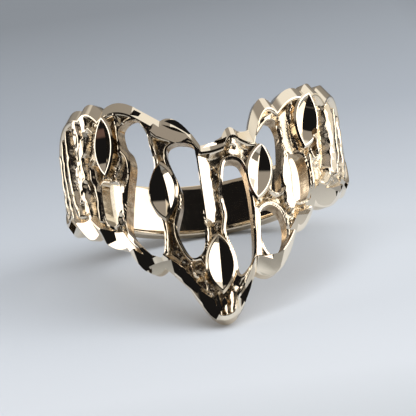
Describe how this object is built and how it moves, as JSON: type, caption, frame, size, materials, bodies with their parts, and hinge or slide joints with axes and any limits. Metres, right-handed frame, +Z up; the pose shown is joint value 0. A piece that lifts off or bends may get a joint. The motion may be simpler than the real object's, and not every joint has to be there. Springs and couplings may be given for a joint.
{
  "type": "crown ring",
  "caption": "Wide gold crown ring: a pierced V-shaped front with scalloped bright-cut rims and marquise cuts, and a plain narrow shank.",
  "frame": {"origin": "middle of the ring's footprint on the surface that it lies on", "axes": "+Z up, -Y towards the point of the V front, +X to the right of it"},
  "size_m": [0.02, 0.0256, 0.0133],
  "materials": {
    "gold": "polished pale yellow gold, grainy in its recesses"
  },
  "bodies": {
    "root": {"ring": "gold"}
  },
  "joints": []
}
